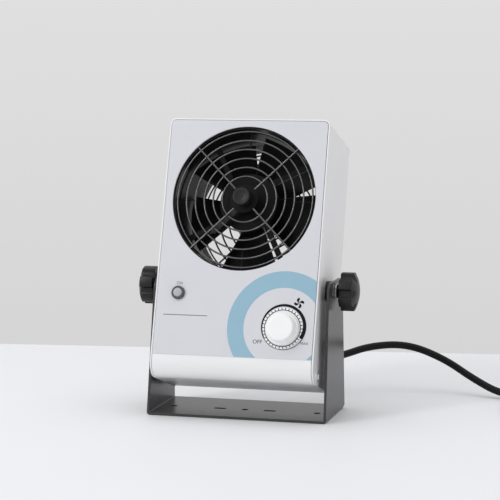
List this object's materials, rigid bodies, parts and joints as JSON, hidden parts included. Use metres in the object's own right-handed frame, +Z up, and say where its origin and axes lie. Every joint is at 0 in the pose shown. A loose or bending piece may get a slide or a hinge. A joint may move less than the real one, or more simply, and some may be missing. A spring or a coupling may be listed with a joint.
{
  "type": "ionizing blower",
  "caption": "Bench ionizing air blower: tilting box housing with a guarded fan and speed dial, held by clamp knobs in a U bracket, with a mains lead.",
  "frame": {"origin": "middle of the underside of the bracket's base, on the surface it stands on", "axes": "+Z up, -Y towards the user, so the air blows towards -Y, +X to the right as the user sees it"},
  "size_m": [0.4023, 0.1854, 0.2387],
  "materials": {
    "bracket_paint": "semi-gloss black paint",
    "housing_paint": "smooth pale grey paint",
    "label_film": "matt pale lavender-grey printed film",
    "guard_wire": "semi-gloss black wire",
    "black_plastic": "matt black moulded plastic",
    "fan_casting": "black painted casting",
    "white_plastic": "white moulded plastic",
    "lens_plastic": "frosted grey translucent plastic",
    "bright_metal": "bright plated steel",
    "dark_metal": "dark plated steel",
    "stator_iron": "laminated iron with winding",
    "brass_metal": "plain brass",
    "board_laminate": "green board laminate",
    "cord_jacket": "black jacket",
    "brush_fibre": "pale bristle",
    "red_lead": "red silicone lead"
  },
  "bodies": {
    "bracket": {"mounting_bracket": "bracket_paint", "power_cord": "cord_jacket", "cord_coil": "cord_jacket", "cord_tail": "cord_jacket", "coil_tie": "black_plastic", "plug_body": "black_plastic", "plug_pins": "brass_metal"},
    "impeller": {"impeller": "black_plastic", "fan_shaft": "bright_metal"},
    "speed_dial": {"speed_knob": "white_plastic", "pot_shaft": "bright_metal"},
    "cleaner": {"cleaning_knob": "black_plastic", "cleaner_shaft": "bright_metal", "brush_arm": "black_plastic", "brush": "brush_fibre"},
    "left_clamp": {"left_clamp_knob": "black_plastic", "left_clamp_stud": "bright_metal", "left_clamp_washer": "bright_metal"},
    "right_clamp": {"right_clamp_knob": "black_plastic", "right_clamp_stud": "bright_metal", "right_clamp_washer": "bright_metal"},
    "blower": {"chassis": "housing_paint", "cover": "housing_paint", "side_screws": "bright_metal", "front_label": "label_film", "front_guard": "guard_wire", "guard_bush": "black_plastic", "emitter_ring": "black_plastic", "emitter_needles": "bright_metal", "fan_frame": "fan_casting", "fan_stator": "stator_iron", "fan_bearings": "bright_metal", "fan_studs": "bright_metal", "fan_nuts": "bright_metal", "rear_guard": "guard_wire", "rear_guard_screws": "dark_metal", "high_voltage_module": "black_plastic", "module_screws": "bright_metal", "control_board": "board_laminate", "board_parts": "black_plastic", "board_standoffs": "brass_metal", "board_screws": "bright_metal", "speed_pot": "dark_metal", "pot_nut": "bright_metal", "indicator_bezel": "dark_metal", "indicator_lens": "lens_plastic", "indicator_nut": "bright_metal", "pivot_nuts": "bright_metal", "pivot_spacers": "black_plastic", "cable_gland": "black_plastic", "gland_nut": "black_plastic", "emitter_lead": "red_lead"}
  },
  "joints": [
    {"name": "tilt", "type": "hinge", "parent": "bracket", "child": "blower", "pos_m": [0, 0, 0.1016], "axis": [1, 0, 0], "range_deg": [-27, 47], "deforming": ["power_cord"]},
    {"name": "fan_spin", "type": "hinge", "parent": "blower", "child": "impeller", "pos_m": [0, 0.02045, 0.16645], "axis": [0, -0.9537, 0.3007], "continuous": true},
    {"name": "speed_turn", "type": "hinge", "parent": "blower", "child": "speed_dial", "pos_m": [0.0404, -0.04072, 0.07554], "axis": [0, 0.9537, -0.3007], "range_deg": [0, 240]},
    {"name": "brush_turn", "type": "hinge", "parent": "blower", "child": "cleaner", "pos_m": [0, -0.00721, 0.17517], "axis": [0, -0.9537, 0.3007], "continuous": true},
    {"name": "left_clamp_turn", "type": "hinge", "parent": "blower", "child": "left_clamp", "pos_m": [-0.08, 0, 0.1016], "axis": [-1, 0, 0], "range_deg": [0, 360]},
    {"name": "right_clamp_turn", "type": "hinge", "parent": "blower", "child": "right_clamp", "pos_m": [0.08, 0, 0.1016], "axis": [1, 0, 0], "range_deg": [0, 360]}
  ]
}
